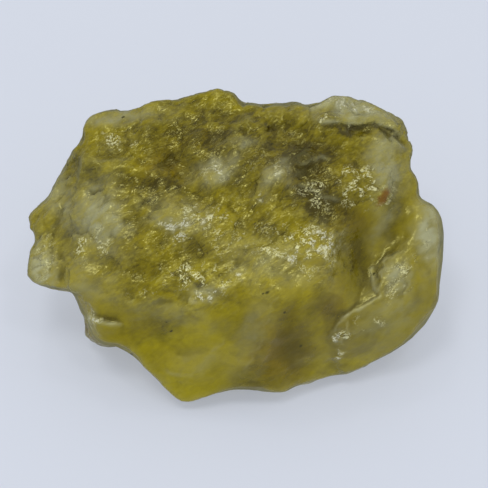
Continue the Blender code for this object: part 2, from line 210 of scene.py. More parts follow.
def paintGroups(piece):
    # weight painting by place: the sugared top, the clean breaks, the lobe's foot, nothing at the table
    sugar = piece.vertex_groups.new(name="sugar")
    clean = piece.vertex_groups.new(name="clean")
    step = piece.vertex_groups.new(name="step")
    for vert in piece.data.vertices:
        place = toLayout(vert.co)
        wander = noise.noise(place / skin["sugarWaves"]) * skin["sugarWander"]
        away = -beside(sugarLine, place.x, place.y)[0] + wander
        onTop = skin["leastSugar"] + (1 - skin["leastSugar"]) * ease(away / skin["sugarFade"] + 0.5)
        if place.z < 0:
            onTop = onTop + (skin["backSugar"] - onTop) * ease(-place.z / skin["backDepth"])
        high = ease((vert.co.z - skin["baseKeep"]) / skin["baseFade"])
        sugar.add([vert.index], onTop * high, "REPLACE")
        clean.add([vert.index], (1 - onTop) * high, "REPLACE")
        away = abs(beside(stepLine, place.x, place.y)[0])
        step.add([vert.index], ease(skin["stepReach"] - away), "REPLACE")


def raiseLips(piece):
    out = leanBack @ Vector((0, 0, 1))
    normals = [vert.normal.copy() for vert in piece.data.vertices]
    for vert, normal in zip(piece.data.vertices, normals):
        place = toLayout(vert.co)
        if place.z < lipping["lowest"] or normal.dot(out) < 0:
            continue
        rise = 0.0
        for height, width, reach, line in lips:
            away, ends = besideLip(line, place)
            if -width < away < lipping["tail"] * reach:
                rise += height * ends * ease(away / width + 0.5) * math.exp(-(max(away, 0) / reach) ** 2)
        vert.co += normal * rise * mm


def raiseShards(piece):
    turn = Matrix.Rotation(-sharding["slant"], 3, "Z")
    sugar = piece.vertex_groups["sugar"]
    clean = piece.vertex_groups["clean"]
    normals = [vert.normal.copy() for vert in piece.data.vertices]
    for vert, normal in zip(piece.data.vertices, normals):
        place = toLayout(vert.co)
        along = turn @ (place + noise.noise_vector(place / sharding["waves"]) * sharding["bend"])
        share = sugar.weight(vert.index) + sharding["onClean"] * clean.weight(vert.index)
        rise = 0.0
        for shard in shards:
            spot = Vector((along.x / shard["stretch"], along.y, along.z)) / shard["size"]
            distances, centres = noise.voronoi(spot)
            lean = noise.cell_vector(centres[0] * sharding["spread"]) - Vector((0.5, 0.5, 0.5))
            rise += shard["tip"] * 2 * lean.dot(spot - centres[0])
            inside = min((distances[1] - distances[0]) / sharding["creaseWidth"], 1.0)
            rise += shard["crease"] * (inside - sharding["creaseLevel"])
        vert.co += normal * rise * share * mm


def raiseGrain(piece, grain):
    texture = bpy.data.textures.new(grain["name"], grain["kind"])
    texture.noise_scale = grain["size"] * mm
    if grain["kind"] == "MUSGRAVE":
        texture.musgrave_type = "RIDGED_MULTIFRACTAL"
        texture.octaves = graining["octaves"]
    applyModifier(
        piece, grain["name"], "DISPLACE", texture=texture, texture_coords="LOCAL",
        strength=grain["height"] * mm, mid_level=graining["level"], vertex_group=grain["group"],
    )


def paintRelief(piece):
    # how far each place stands over the softened surface, 0.5 where it is level with it
    soft = piece.copy()
    soft.data = piece.data.copy()
    bpy.context.scene.collection.objects.link(soft)
    applyModifier(soft, "soften", "SMOOTH", factor=skin["softness"], iterations=skin["reliefSmoothing"])
    relief = piece.data.attributes.new("relief", "FLOAT", "POINT")
    normals = [vert.normal.copy() for vert in soft.data.vertices]
    rows = zip(piece.data.vertices, soft.data.vertices, normals, relief.data)
    for vert, level, normal, entry in rows:
        entry.value = 0.5 + (vert.co - level.co).dot(normal) / skin["reliefSpan"]
    bpy.data.objects.remove(soft)


def flattenBase(piece):
    for vert in piece.data.vertices:
        vert.co.z = max(vert.co.z, 0.0)


def buildStone():
    piece = copyOfNode("rough_topaz", "topaz_skin")
    makeActive(piece)
    bpy.ops.object.mode_set(mode="EDIT")
    bpy.ops.mesh.select_all(action="SELECT")
    bpy.ops.mesh.remove_doubles(threshold=1e-6)
    bpy.ops.object.mode_set(mode="OBJECT")
    applyModifier(piece, "fineGrid", "REMESH", mode="VOXEL", voxel_size=skin["grid"])
    applyModifier(piece, "softenFlats", "SMOOTH", factor=skin["softness"], iterations=skin["smoothing"])
    paintGroups(piece)
    applyModifier(
        piece, "softenStep", "SMOOTH", factor=skin["softness"],
        iterations=skin["stepSmoothing"], vertex_group="step",
    )
    raiseShards(piece)
    raiseLips(piece)
    for grain in grains:
        raiseGrain(piece, grain)
    flattenBase(piece)
    paintRelief(piece)
    makeActive(piece)
    bpy.ops.object.shade_smooth()
    return piece


# what is painted on it, all as: u, v, half length, half width, turn in degrees, strength

# pale places: milky clouds, and painted highlights on lit faces, such as the bright facet at the left and
# the faces of the lobe
cloudsAndHighlights = (
    (-2.2, 8.2, 2.0, 1.4, 10, 0.8), (0.6, 11.2, 1.4, 1.0, 0, 0.5), (4.3, 7.6, 1.8, 1.2, 40, 0.7),
    (20.9, 1.2, 1.6, 3.8, 0, 1.2), (12.6, 14.9, 5.4, 1.3, -10, 0.95), (-20.8, -2.0, 1.5, 2.6, 10, 1.1),
    (-14.6, 3.2, 2.4, 3.4, 10, 0.95), (-13.0, 13.9, 4.4, 0.9, 4, 0.65), (-3.6, -4.6, 1.8, 1.0, 10, 0.6),
    (16.2, 9.0, 1.8, 3.8, 0, 0.85), (16.6, -6.8, 3.0, 5.0, -40, 0.38),
    (17.0, -3.0, 1.1, 2.4, -25, 0.8), (16.0, -8.4, 2.4, 0.9, 25, 0.35), (-19.0, 5.0, 2.0, 6.0, 28, 0.55),
    (-16.4, -2.4, 2.2, 1.6, 0, 0.4),
    (-6.6, 3.2, 3.0, 1.4, -20, 0.5), (3.6, -1.6, 5.0, 2.2, -15, 0.35), (1.6, -9.0, 1.6, 4.8, -20, 0.2),
    (-16.0, -4.6, 3.6, 1.4, -10, 0.45), (15.4, 2.6, 1.0, 3.0, -8, 0.4), (13.2, -8.8, 3.4, 1.8, 30, 0.3),
    (-7.6, -7.0, 5.0, 1.0, -14, 0.25), (-4.0, -12.6, 2.6, 1.4, 10, 0.16),
)
# dark places: deeper colour, and painted shade in the hollows and on the face at the right that turns from
# the light
depths = (
    (-7.0, 10.4, 3.6, 1.6, -12, 0.4), (7.4, 9.4, 4.4, 3.2, -15, 0.95), (13.0, -1.4, 2.4, 4.8, 14, 0.75),
    (6.0, -10.6, 3.0, 4.6, 20, 0.75), (-6.0, -12.0, 6.0, 3.0, -10, 0.2),
    (-9.0, -12.4, 3.4, 2.0, -42, 0.30), (8.6, 5.2, 5.0, 2.2, -25, 1.0), (2.0, -14.6, 5.0, 1.5, 8, 0.7),
    (-8.4, 6.6, 5.4, 1.3, -5, 0.8), (10.2, -8.4, 1.6, 4.6, 8, 0.55), (16.6, 12.2, 1.4, 0.7, -20, 0.9),
    (12.0, 12.4, 3.2, 0.6, -6, 0.9), (-4.6, -3.4, 1.8, 0.5, 4, 0.7), (1.0, 11.0, 13.0, 3.8, -4, 0.62),
    (-18.2, 3.4, 0.8, 3.2, 0, 0.35), (19.8, -6.0, 0.7, 2.6, -30, 0.2),
    (3.0, 2.2, 2.6, 0.9, -20, 0.5), (-11.5, 1.0, 2.2, 3.4, 0, 0.3),
)
# brownish places
warmths = (
    (4.6, -11.4, 3.6, 4.0, 10, 1.0), (10.4, -7.0, 2.0, 4.6, 10, 0.6), (7.2, 8.4, 3.8, 2.6, -15, 0.6),
    (-7.4, 8.6, 2.6, 2.6, 0, 0.6), (-3.4, 11.8, 3.0, 1.2, 0, 0.5), (11.6, 2.8, 2.6, 2.0, -30, 0.5),
)
# where the crystal glints: glossier, with tipped flakes, and with painted glints in its colour
glitter = (
    (0.5, 0.8, 16.0, 5.0, -8, 0.45), (2.0, 9.0, 12.0, 3.0, 4, 0.35),
    (-13.4, 11.0, 2.6, 1.5, 0, 0.7), (-3.2, 3.0, 4.6, 1.8, -8, 0.8), (-3.7, -3.3, 5.0, 2.0, -6, 0.8),
    (6.8, 0.0, 4.6, 3.0, 0, 0.9), (13.5, 6.2, 3.6, 3.0, 0, 0.85), (8.7, 5.7, 3.6, 2.2, -20, 0.62),
    (-15.6, 0.0, 2.4, 2.6, 0, 0.8), (-20.6, -1.0, 1.6, 3.4, 0, 0.7), (-2.0, 8.0, 3.0, 2.0, 0, 0.5),
    (4.4, 8.0, 2.2, 1.8, 0, 0.6), (-15.2, -7.8, 1.4, 0.8, 0, 1.0), (13.0, -7.6, 3.6, 1.6, 40, 0.4),
    (17.6, -3.2, 1.8, 3.6, -30, 0.6), (20.6, 1.0, 1.0, 3.0, 0, 0.6),
    (14.6, -8.2, 3.0, 1.0, 30, 0.6), (11.6, -10.0, 1.6, 1.0, 40, 0.7), (-9.6, -5.0, 4.0, 1.4, -10, 0.4),
    (10.6, 13.4, 4.0, 0.9, -8, 0.7),
)
# frosted patches, almost white, with painted glints in them
frost = (
    (-6.5, 2.5, 1.6, 1.0, -10, 1.0), (-5.7, 0.5, 0.8, 0.7, 0, 0.7), (-3.2, -5.2, 1.7, 0.9, 10, 1.0),
    (9.4, 0.2, 1.5, 2.1, 15, 0.9), (11.0, -10.3, 0.6, 1.0, 0, 0.9),
    (11.3, -11.7, 0.5, 0.5, 0, 0.7), (6.0, -1.5, 1.2, 0.8, 0, 0.9), (0.1, -3.0, 0.9, 0.8, 0, 0.7),
    (-3.7, 3.2, 1.4, 1.1, 0, 0.6), (-20.9, -2.6, 0.9, 1.6, 0, 0.35), (-15.4, -7.8, 1.1, 0.6, 0, 0.9),
    (20.8, -1.4, 0.8, 1.0, 0, 0.4), (-13.4, 11.0, 1.2, 0.8, 0, 0.5), (4.2, 7.8, 1.2, 0.8, 40, 0.7),
    (-2.0, 8.4, 1.4, 0.9, 10, 0.7), (2.8, 5.2, 0.7, 1.1, 0, 0.5), (12.8, 15.2, 4.2, 0.6, -8, 0.6),
)
# small dark specks: u, v, half length
specks = (
    (-12.3, 14.0, 0.22), (3.27, -4.88, 0.32), (2.8, -5.0, 0.18), (-7.0, -9.1, 0.2), (-11.5, -11.8, 0.35),
    (3.8, 11.0, 0.2), (6.9, -10.7, 0.22), (5.1, -7.0, 0.2), (14.7, -3.0, 0.24),
)
# the rust spot: u, v, half length, half width, turn
rust = (15.8, 5.3, 0.5, 1.2, -35)
# on the sides that the photo doesn't show, strewn by noise: size in mm, shift, strength, in this order
# clouds, depths, glitter, frost, warmths
unseen = ((3.6, 3.0, 0.35), (4.2, 9.0, 0.45), (3.0, 17.0, 0.6), (2.6, 29.0, 0.35), (5.0, 41.0, 0.45))
painting = {
    "waves": (2.2, 0.8),      # mm, the sizes of the waves that make the patches wander
    "wander": (1.1, 0.5),     # mm, how far each of them goes
    "frontDepth": 2,          # mm behind the outline's plane where the photo's paint ends
    "unseenGain": 2.2,        # how sharply the strewn patches end
    "unseenLevel": 0.2,       # and how much they cover
    # the rim, painted greyer and darker as painted shade
    "rimDepth": 1.2,          # mm behind the outline's plane where the rim ends
    "rimLean": 0.55,          # the rim is where the surface turns this far from the outline's plane
    "rimLeanHigh": 0.15,      # and this much sooner at the top of the stone
    "rimFade": 0.40,
    "rimRise": 6,             # mm below the middle where that begins, and mm over which it grows
}


def patch(row, u, v):
    atU, atV, halfLength, halfWidth, turn, strength = row
    turn = math.radians(turn)
    along = ((u - atU) * math.cos(turn) + (v - atV) * math.sin(turn)) / halfLength
    across = (-(u - atU) * math.sin(turn) + (v - atV) * math.cos(turn)) / halfWidth
    return strength * math.exp(-(along * along + across * across))


def paintPlaces(piece):
    # vertex painting: red holds milky clouds and painted highlights, green holds deep colour and painted
    # shade, blue holds glitter
    places = piece.data.attributes.new("places", "FLOAT_COLOR", "POINT")
    shares = []
    out = leanBack @ Vector((0, 0, 1))
    waves, wander = painting["waves"], painting["wander"]
    highlightLine, palePlace, paleWidth = lipping["highlightLine"]
    shadeLine, darkPlace, darkWidth = lipping["shadeLine"]
    normals = [vert.normal.copy() for vert in piece.data.vertices]
    for vert, normal, entry in zip(piece.data.vertices, normals, places.data):
        place = toLayout(vert.co)
        drift = (noise.noise_vector(place / waves[0]) * wander[0]
                 + noise.noise_vector(place / waves[1]) * wander[1])
        u, v = place.x + drift.x, place.y + drift.y
        front = ease(place.z / painting["frontDepth"] + 1)
        cloudAndHighlight, depth, glint, frostedAndGlinting, warm = (
            max(patch(row, u, v) for row in rows) for rows in (cloudsAndHighlights, depths, glitter, frost, warmths)
        )
        # along each lip, a painted highlight on its crest and painted shade beside it
        for height, width, reach, line in lips:
            away, ends = besideLip(line, place)
            if abs(away) < lipping["paintReach"]:
                ends *= min(height / lipping["paintHeight"], 1.0)
                cloudAndHighlight = max(cloudAndHighlight, highlightLine * ends * math.exp(-((away - palePlace) / paleWidth) ** 2))
                depth = max(depth, shadeLine * ends * math.exp(-((away - darkPlace) / darkWidth) ** 2))
        behind = []
        for size, shift, strength in unseen:
            strewn = noise.noise(place / size + Vector((shift, 0, 0)))
            strewn = ease(strewn * painting["unseenGain"] + painting["unseenLevel"])
            behind.append((1 - front) * strength * strewn)
        # the rim, where the surface turns away from the outline's plane, is painted greyer and darker as
        # painted shade
        high = ease((place.y + painting["rimRise"]) / painting["rimRise"])
        lean = painting["rimLean"] + painting["rimLeanHigh"] * high - abs(normal.dot(out))
        rim = ease(place.z + painting["rimDepth"]) * ease(lean / painting["rimFade"])
        entry.color = (cloudAndHighlight * front + behind[0], depth * front + behind[1], glint * front + behind[2], 1.0)
        shares.append((frostedAndGlinting * front + behind[3], warm * front + behind[4], rim))
    for i, name in enumerate(("frostShare", "warmShare", "rimShare")):
        painted = piece.data.attributes.new(name, "FLOAT", "POINT")
        for share, entry in zip(shares, painted.data):
            entry.value = share[i]
    sugar = piece.data.attributes.new("sugarShare", "FLOAT", "POINT")
    group = piece.vertex_groups["sugar"]
    for vert, entry in zip(piece.data.vertices, sugar.data):
        entry.value = group.weight(vert.index)


# its colour and clearness
crystal = {
    "lemon": linear(166, 150, 0),
    "deep": linear(52, 38, 0),
    "warm": linear(130, 98, 0),
    # pale of the milky clouds, also the colour of the painted highlights
    "milkyAndHighlight": linear(197, 197, 158),
    # pale of the wisps, also the colour of the ridges' painted highlight
    "wispyAndHighlight": linear(198, 188, 92),
    # the rim's painted shade
    "rim": linear(112, 112, 74),
    # white of the frost, also the colour of the painted glints in it
    "frostedAndGlinting": linear(244, 244, 222),
    # the colour of the painted glints
    "glinting": linear(255, 252, 196),
    # the painted shade in the pits and between the glints
    "paintedShade": linear(50, 38, 0),
    "rust": linear(132, 74, 12),
    "speck": linear(30, 24, 6),
    "transmission": 0.42,
    "refraction": 1.62,
    "specular": 0.30,
    "specularTint": (1.0, 0.95, 0.34, 1.0),
    "absorbColour": (0.85, 0.80, 0.03, 1.0),
    "absorbDensity": 45.0,
    "warmStrength": 0.85,
    "rustStrength": 0.85,
    "pitShade": 0.50,      # how dark the painted shade in the pits is
    "ridgeHighlight": 0.16,    # how pale the ridges are painted, a painted highlight
    "cleanVeins": 0.35,       # what the clean breaks keep of the veins
    "frostLight": 1.2,        # how much a frosted patch glints, in painted glints and tipped flakes
    "paintedGlintGather": 0.75,      # how strongly the painted glints gather where it glints
    "streakTurn": math.radians(34),    # streaks run up to the right over the top
    "streakScale": (1.7, 0.75, 1.0),   # how long and how thin they are
    "speckEdge": (1.3, 0.4),           # where a speck ends and where it is full, for its half length
    "speckWidth": 0.6,                 # for its length
    "speckTurn": 30,                   # degrees
    "rustRagged": 0.9,                 # mm that the edge of the rust spot wavers
    "plateSize": 0.5,         # mm, flat breaks on the sugared top
    "plateTilt": 0.50,
    "plateLeast": 0.15,       # what is left of them where nothing glints
    "flakeSize": 0.38,        # mm, the flakes that glint
    "flakeTilt": 0.5,
    "cellWildness": 0.3,      # how far the edges of plates and flakes run wild
    "strokeHeight": 0.15 * mm,
    "strokeLeast": 0.15,      # what the clean breaks keep of the strokes
    "grainHeight": 0.10 * mm,
    "grainLeast": 0.08,       # what is left of the grain where nothing glints
    "cleanRoughness": 0.24,
    "sugarRoughness": 0.18,
    "glintRoughness": 0.13,
    "rimRoughness": 0.60,
}
# the noises it is made of: scale for mm, detail, roughness, distortion
noises = {
    "broad": (0.20, 3, 0.5, 0.6),
    "middling": (0.70, 4, 0.52, 0.6),
    "fine": (2.6, 4, 0.6, 0.5),
    "wisps": (1.7, 5, 0.7, 1.2),
    "clusters": (0.75, 3, 0.6, 0.0),
    "clumps": (1.25, 2, 0.55, 0.5),
    "dashes": (2.6, 2, 0.6, 0.0),
    "dots": (2.6, 1, 0.5, 0.8),
    "longLines": (0.95, 2, 0.5, 1.6),
    "shortLines": (1.5, 2, 0.5, 1.6),
    "jitter": (1.6, 3, 0.5, 0.0),
    "strokes": (1.5, 2, 0.5, 0.6),
    "grain": (2.6, 3, 0.6, 0.0),
}
# where each mask begins and ends, and its strength there
masks = {
    "drifting": (0.45, 0.70, 0.0, 0.55),
    "veins": (0.36, 0.64, -0.04, 0.30),
    "hairs": (0.35, 0.65, 0.15, -0.11),
    "broken": (0.30, 0.60, 0.35, 1.0),
    "ridges": (0.54, 0.80, 0.0, 1.0),
    "pits": (0.47, 0.22, 0.0, 1.0),
    "wisps": (0.50, 0.68, 0.0, 0.42),
    "outOfDepths": (0.1, 0.9, 1.0, 0.30),
    "edging": (0.36, 0.60, 0.90, 0.35),
    "clusters": (0.42, 0.58, 0.0, 1.0),
    "clumps": (0.43, 0.57, 0.22, 1.0),
    "lit": (0.15, 0.80, 0.0, 1.0),
    "dashes": (0.47, 0.54, 0.0, 1.0),
    "gaps": (1.0, 0.0, 0.25, 1.0),
    "dots": (0.61, 0.68, 0.0, 1.0),
    "lines": (0.085, 0.03825, 0.0, 1.0),
    "paintedGlintFlecks": (1.14, 1.55, 0.0, 1.0),
    "haze": (0.36, 0.62, 0.06, 0.52),
    "shade": (0.46, 0.36, 0.0, 0.7),
    "whiter": (0.15, 0.8, 0.0, 1.0),
    "glossy": (0.1, 0.6, 0.0, 1.0),
}


def addNode(tree, kind, place, values=None, **settings):
    node = tree.nodes.new(kind)
    node.location = place
    for key, value in settings.items():
        setattr(node, key, value)
    for key, value in (values or {}).items():
        node.inputs[key].default_value = value
    return node


def plug(tree, value, socket):
    # a number, a colour or a direction is typed in, and an output is linked
    if isinstance(value, (int, float, tuple)):
        socket.default_value = value
    else:
        tree.links.new(value, socket)


def reckoned(tree, operation, a, b, place):
    node = addNode(tree, "ShaderNodeMath", place, operation=operation)
    plug(tree, a, node.inputs[0])
    plug(tree, b, node.inputs[1])
    return node.outputs[0]


def vectorReckoned(tree, operation, place, *values):
    node = addNode(tree, "ShaderNodeVectorMath", place, operation=operation)
    for value, socket in zip(values, node.inputs):
        plug(tree, value, socket)
    return node


def ranged(tree, value, mask, place):
    limits = dict(zip(("From Min", "From Max", "To Min", "To Max"), mask))
    node = addNode(tree, "ShaderNodeMapRange", place, limits)
    plug(tree, value, node.inputs["Value"])
    return node.outputs[0]


def blended(tree, factor, a, b, place, kind="RGBA"):
    node = addNode(tree, "ShaderNodeMix", place, data_type=kind)
    for name, value in (("Factor", factor), ("A", a), ("B", b)):
        plug(tree, value, node.inputs[name])
    return node.outputs["Result"]


def noiseOf(tree, vector, name, place, output="Fac"):
    values = dict(zip(("Scale", "Detail", "Roughness", "Distortion"), noises[name]))
    node = addNode(tree, "ShaderNodeTexNoise", place, values)
    plug(tree, vector, node.inputs["Vector"])
    return node.outputs[output]


def noiseMask(tree, vector, name, place):
    x, y = place
    return ranged(tree, noiseOf(tree, vector, name, place), masks[name], (x + 200, y))


def makeSpeckGroup():
    # a soft-edged oval speck, and the ones before it
    tree = bpy.data.node_groups.new("speck", "ShaderNodeTree")
    inputs = {"Place": "Vector", "Centre": "Vector", "Size": "Vector", "Turn": "Float", "Before": "Float"}
    for name, kind in inputs.items():
        tree.interface.new_socket(name, in_out="INPUT", socket_type="NodeSocket" + kind)
    tree.interface.new_socket("Mask", in_out="OUTPUT", socket_type="NodeSocketFloat")
    inlet = addNode(tree, "NodeGroupInput", (-900, 0)).outputs
    outlet = addNode(tree, "NodeGroupOutput", (700, 0))
    away = vectorReckoned(tree, "SUBTRACT", (-700, 0), inlet["Place"], inlet["Centre"])
    turned = addNode(tree, "ShaderNodeVectorRotate", (-500, 0), rotation_type="Z_AXIS")
    plug(tree, away.outputs[0], turned.inputs["Vector"])
    plug(tree, inlet["Turn"], turned.inputs["Angle"])
    scaled = vectorReckoned(tree, "DIVIDE", (-300, 0), turned.outputs[0], inlet["Size"])
    length = vectorReckoned(tree, "LENGTH", (-100, 0), scaled.outputs[0])
    edge = dict(zip(("From Min", "From Max"), crystal["speckEdge"]))
    fade = addNode(tree, "ShaderNodeMapRange", (100, 0), edge, interpolation_type="SMOOTHSTEP")
    plug(tree, length.outputs["Value"], fade.inputs["Value"])
    larger = reckoned(tree, "MAXIMUM", fade.outputs[0], inlet["Before"], (400, 0))
    plug(tree, larger, outlet.inputs["Mask"])
    return tree


def addSpecks(tree, group, place, rows, x, y):
    before = None
    for i, (u, v, halfLength, halfWidth, turn) in enumerate(rows):
        speck = addNode(tree, "ShaderNodeGroup", (x + 180 * i, y), node_tree=group)
        plug(tree, place, speck.inputs["Place"])
        plug(tree, (u, v, 5.0), speck.inputs["Centre"])
        plug(tree, (halfLength, halfWidth, 9.0), speck.inputs["Size"])
        plug(tree, -math.radians(turn), speck.inputs["Turn"])
        if before:
            plug(tree, before, speck.inputs["Before"])
        before = speck.outputs["Mask"]
    return before


def stoneCoordinates(tree):
    # millimetres on the outline's plane, and the same drawn out along the streaks
    coords = addNode(tree, "ShaderNodeTexCoord", (-2000, 0))
    laid = addNode(tree, "ShaderNodeMapping", (-1800, 0), {
        "Scale": (1 / mm,) * 3,
        "Rotation": (-layout["tip"], 0, 0),
        "Location": -(standUp @ layout["middle"]),
    })
    plug(tree, coords.outputs["Object"], laid.inputs["Vector"])
    streaky = addNode(tree, "ShaderNodeMapping", (-1600, -600), {
        "Rotation": (0, 0, crystal["streakTurn"]), "Scale": crystal["streakScale"],
    }, vector_type="TEXTURE")
    plug(tree, laid.outputs[0], streaky.inputs["Vector"])
    return laid.outputs[0], streaky.outputs[0]


def paintedShares(tree):
    painted = addNode(tree, "ShaderNodeAttribute", (-1800, 500), attribute_name="places")
    parts = addNode(tree, "ShaderNodeSeparateColor", (-1600, 500))
    plug(tree, painted.outputs["Color"], parts.inputs[0])
    shares = dict(zip(("cloudAndHighlight", "depth", "glint"), parts.outputs))
    for i, name in enumerate(("relief", "sugarShare", "frostShare", "warmShare", "rimShare")):
        node = addNode(tree, "ShaderNodeAttribute", (-1800, 700 + 200 * i), attribute_name=name)
        shares[name] = node.outputs["Fac"]
    return shares


def bodyColour(tree, shares, waves):
    # the body drifts between lemon, warm and deep, with veins and hairs; the painted dark places, partly
    # painted shade, take the deep colour
    drifting = ranged(tree, waves["broad"], masks["drifting"], (-1100, 0))
    deepShare = reckoned(tree, "MAXIMUM", drifting, shares["depth"], (-900, 100))
    veins = ranged(tree, waves["middling"], masks["veins"], (-1100, -200))
    hairs = ranged(tree, waves["fine"], masks["hairs"], (-1100, -100))
    veined = reckoned(tree, "ADD", veins, hairs, (-1000, -150))
    sugared = reckoned(tree, "ADD", shares["sugarShare"], crystal["cleanVeins"], (-900, -150))
    veined = reckoned(tree, "MULTIPLY", veined, sugared, (-800, -150))
    deepShare = reckoned(tree, "ADD", deepShare, veined, (-700, 100))
    warmth = reckoned(tree, "MULTIPLY", shares["warmShare"], crystal["warmStrength"], (-700, 300))
    body = blended(tree, warmth, crystal["lemon"], crystal["warm"], (-600, 200))
    return blended(tree, deepShare, body, crystal["deep"], (-500, 100))


def cloudedColour(tree, body, shares, waves):
    # broken-up milky clouds and painted highlights, pale wisps, ridges painted paler as a painted
    # highlight, and the rim painted greyer and darker as painted shade
    broken = ranged(tree, waves["middling"], masks["broken"], (-1100, -450))
    paleShare = reckoned(tree, "MULTIPLY", shares["cloudAndHighlight"], broken, (-900, -300))
    wisps = ranged(tree, waves["wisps"], masks["wisps"], (-1100, -650))
    wisps = reckoned(tree, "MULTIPLY", wisps, shares["sugarShare"], (-900, -600))
    # ridges painted paler: a painted highlight
    ridges = ranged(tree, shares["relief"], masks["ridges"], (-1400, 900))
    ridges = reckoned(tree, "MULTIPLY", ridges, crystal["ridgeHighlight"], (-900, -500))
    wisps = reckoned(tree, "ADD", wisps, ridges, (-800, -550))
    fewer = ranged(tree, shares["depth"], masks["outOfDepths"], (-900, -350))
    wisps = reckoned(tree, "MULTIPLY", wisps, fewer, (-750, -450))
    # the rim painted greyer and darker: painted shade, broken up by noise
    edging = ranged(tree, waves["middling"], masks["edging"], (-550, 400))
    edging = reckoned(tree, "MULTIPLY", shares["rimShare"], edging, (-400, 300))
    clouded = blended(tree, paleShare, body, crystal["milkyAndHighlight"], (-350, 100))
    clouded = blended(tree, wisps, clouded, crystal["wispyAndHighlight"], (-300, 100))
    return blended(tree, edging, clouded, crystal["rim"], (-200, 100))


def glintShares(tree, place, shares):
    # where it glints, where it is frosted, and the two together
    clusters = noiseMask(tree, place, "clusters", (-1400, -1500))
    glinting = reckoned(tree, "MULTIPLY", shares["glint"], clusters, (-900, -1500))
    clumps = noiseMask(tree, place, "clumps", (-1400, -2300))
    frosty = reckoned(tree, "MULTIPLY", shares["frostShare"], clumps, (-1000, -2300))
    lit = reckoned(tree, "MULTIPLY", frosty, crystal["frostLight"], (-900, -1600))
    lit = reckoned(tree, "MAXIMUM", glinting, lit, (-700, -1500))
    return glinting, frosty, ranged(tree, lit, masks["lit"], (-500, -1500))


def thinLines(tree, streaky, name, y):
    # squiggles, where a noise passes through its middle
    lines = reckoned(tree, "SUBTRACT", noiseOf(tree, streaky, name, (-1400, y)), 0.5, (-1200, y))
    lines = reckoned(tree, "ABSOLUTE", lines, 0.0, (-1050, y))
    return ranged(tree, lines, masks["lines"], (-900, y))


def paintedGlints(tree, place, streaky, lit):
    # painted glints: bright squiggles and dots, in clusters where it is lit
    dashes = noiseMask(tree, place, "dashes", (-1400, -1700))
    gaps = ranged(tree, dashes, masks["gaps"], (-1000, -1750))
    dots = noiseMask(tree, place, "dots", (-1400, -2100))
    long = thinLines(tree, streaky, "longLines", -1100)
    long = reckoned(tree, "MULTIPLY", long, dashes, (-700, -1100))
    short = thinLines(tree, streaky, "shortLines", -1300)
    short = reckoned(tree, "MULTIPLY", short, gaps, (-700, -1300))
    sharp = reckoned(tree, "MAXIMUM", long, short, (-500, -1100))
    sharp = reckoned(tree, "MAXIMUM", sharp, dots, (-400, -1100))
    gathered = reckoned(tree, "MULTIPLY", lit, crystal["paintedGlintGather"], (-450, -1200))
    gathered = reckoned(tree, "ADD", sharp, gathered, (-350, -1100))
    return ranged(tree, gathered, masks["paintedGlintFlecks"], (-250, -1100))


def glintingColour(tree, clouded, paintedGlintFlecks, frosty, lit, shares, waves):
    # frost haze and painted glints on top, with painted shade between the glints and in the pits
    haze = ranged(tree, waves["middling"], masks["haze"], (-1100, -950))
    haze = reckoned(tree, "MULTIPLY", frosty, haze, (-700, -950))
    bright = reckoned(tree, "MAXIMUM", haze, paintedGlintFlecks, (-100, -1000))
    # painted shade: dark between the glints and in the pits
    shade = ranged(tree, waves["fine"], masks["shade"], (-900, -1300))
    shade = reckoned(tree, "MULTIPLY", shade, lit, (-500, -1300))
    pits = ranged(tree, shares["relief"], masks["pits"], (-1400, 1100))
    pits = reckoned(tree, "MULTIPLY", pits, crystal["pitShade"], (-700, -600))
    shade = reckoned(tree, "MAXIMUM", shade, pits, (-300, -700))
    shaded = blended(tree, shade, clouded, crystal["paintedShade"], (-100, 100))
    whiter = ranged(tree, frosty, masks["whiter"], (-100, 400))
    frostAndGlintColour = blended(tree, whiter, crystal["glinting"], crystal["frostedAndGlinting"], (0, 300))
    return blended(tree, bright, shaded, frostAndGlintColour, (100, 100))


def spottedColour(tree, colour, place, jitter):
    # the rust spot, whose edge wavers, and the dark specks
    group = makeSpeckGroup()
    ragged = crystal["rustRagged"]
    uneven = vectorReckoned(tree, "MULTIPLY_ADD", (-900, 800), jitter, (ragged,) * 3, place)
    shifted = vectorReckoned(tree, "SUBTRACT", (-700, 800), uneven.outputs[0], (ragged / 2,) * 3)
    rusty = addSpecks(tree, group, shifted.outputs[0], [rust], -500, 900)
    rusty = reckoned(tree, "MULTIPLY", rusty, crystal["rustStrength"], (-300, 900))
    ovals = [(u, v, size, size * crystal["speckWidth"], crystal["speckTurn"]) for u, v, size in specks]
    dotted = addSpecks(tree, group, place, ovals, -500, 600)
    rusted = blended(tree, rusty, colour, crystal["rust"], (1300, 300))
    return blended(tree, dotted, rusted, crystal["speck"], (1500, 300))


def tippedCells(tree, coords, size, amount, y):
    # flat cells, each tipped its own way
    cells = addNode(tree, "ShaderNodeTexVoronoi", (-1000, y), {"Scale": 1 / size})
    plug(tree, coords, cells.inputs["Vector"])
    tip = vectorReckoned(tree, "SUBTRACT", (-700, y), cells.outputs["Color"], (0.5, 0.5, 0.5))
    tilted = vectorReckoned(tree, "SCALE", (-500, y), tip.outputs[0])
    plug(tree, amount, tilted.inputs["Scale"])
    return tilted.outputs[0]


def raised(tree, noiseName, coords, share, least, height, x):
    # a bump that is strong where the share is, and never less than the least
    strength = reckoned(tree, "ADD", share, least, (x - 300, -1050))
    shape = noiseOf(tree, coords, noiseName, (x - 300, -900))
    bump = addNode(tree, "ShaderNodeBump", (x, -700), {"Strength": 1.0, "Distance": height})
    plug(tree, reckoned(tree, "MULTIPLY", shape, strength, (x - 150, -900)), bump.inputs["Height"])
    return bump


